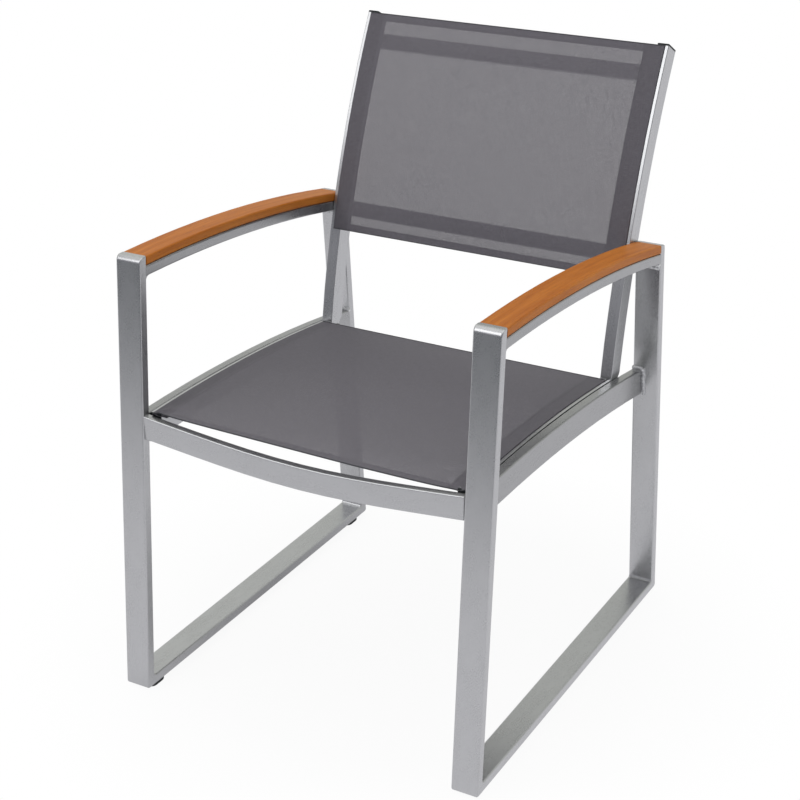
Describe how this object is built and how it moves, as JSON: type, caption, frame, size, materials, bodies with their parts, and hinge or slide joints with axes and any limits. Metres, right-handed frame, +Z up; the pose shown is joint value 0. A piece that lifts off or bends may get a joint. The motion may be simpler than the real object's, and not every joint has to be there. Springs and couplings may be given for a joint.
{
  "type": "sling patio chair",
  "caption": "Patio armchair with welded flat-tube sled frames, arched wooden arm pads, bowed crossbars, and a mesh seat and back whose corded edges sit in slotted rails.",
  "frame": {"origin": "on the floor, under the middle of the chair's outline", "axes": "+Z up; the chair faces -Y; +X is to the right of someone who stands in front of the chair and looks at it"},
  "size_m": [0.58, 0.6944, 0.8749],
  "materials": {
    "aluminium": "brushed lengthwise, clear-coated",
    "hardwood": "oiled, fine straight grain along the arm",
    "black_plastic": "moulded, slightly textured",
    "grey_mesh": "woven coated yarn, open weave",
    "edge_cord": "smooth round cord",
    "steel": "bright zinc-plated"
  },
  "bodies": {
    "root": {"back_sling": "grey_mesh", "front_crossbar": "aluminium", "left_arm_pad": "hardwood", "left_arm_rail": "aluminium", "left_back_edge_cord": "edge_cord", "left_back_post": "aluminium", "left_floor_runner": "aluminium", "left_front_glide": "black_plastic", "left_front_leg": "aluminium", "left_pad_screw_1": "steel", "left_pad_screw_2": "steel", "left_pad_screw_3": "steel", "left_post_bolt_1": "steel", "left_post_bolt_2": "steel", "left_post_cap": "black_plastic", "left_rail_bolt_1": "steel", "left_rail_bolt_2": "steel", "left_rail_plug": "black_plastic", "left_rear_glide": "black_plastic", "left_rear_leg": "aluminium", "left_seat_edge_cord": "edge_cord", "left_seat_sling_rail": "aluminium", "left_seat_stretcher": "aluminium", "lower_back_spreader": "aluminium", "rear_crossbar": "aluminium", "right_arm_pad": "hardwood", "right_arm_rail": "aluminium", "right_back_edge_cord": "edge_cord", "right_back_post": "aluminium", "right_floor_runner": "aluminium", "right_front_glide": "black_plastic", "right_front_leg": "aluminium", "right_pad_screw_1": "steel", "right_pad_screw_2": "steel", "right_pad_screw_3": "steel", "right_post_bolt_1": "steel", "right_post_bolt_2": "steel", "right_post_cap": "black_plastic", "right_rail_bolt_1": "steel", "right_rail_bolt_2": "steel", "right_rail_plug": "black_plastic", "right_rear_glide": "black_plastic", "right_rear_leg": "aluminium", "right_seat_edge_cord": "edge_cord", "right_seat_sling_rail": "aluminium", "right_seat_stretcher": "aluminium", "seat_sling": "grey_mesh", "upper_back_spreader": "aluminium"}
  },
  "joints": []
}
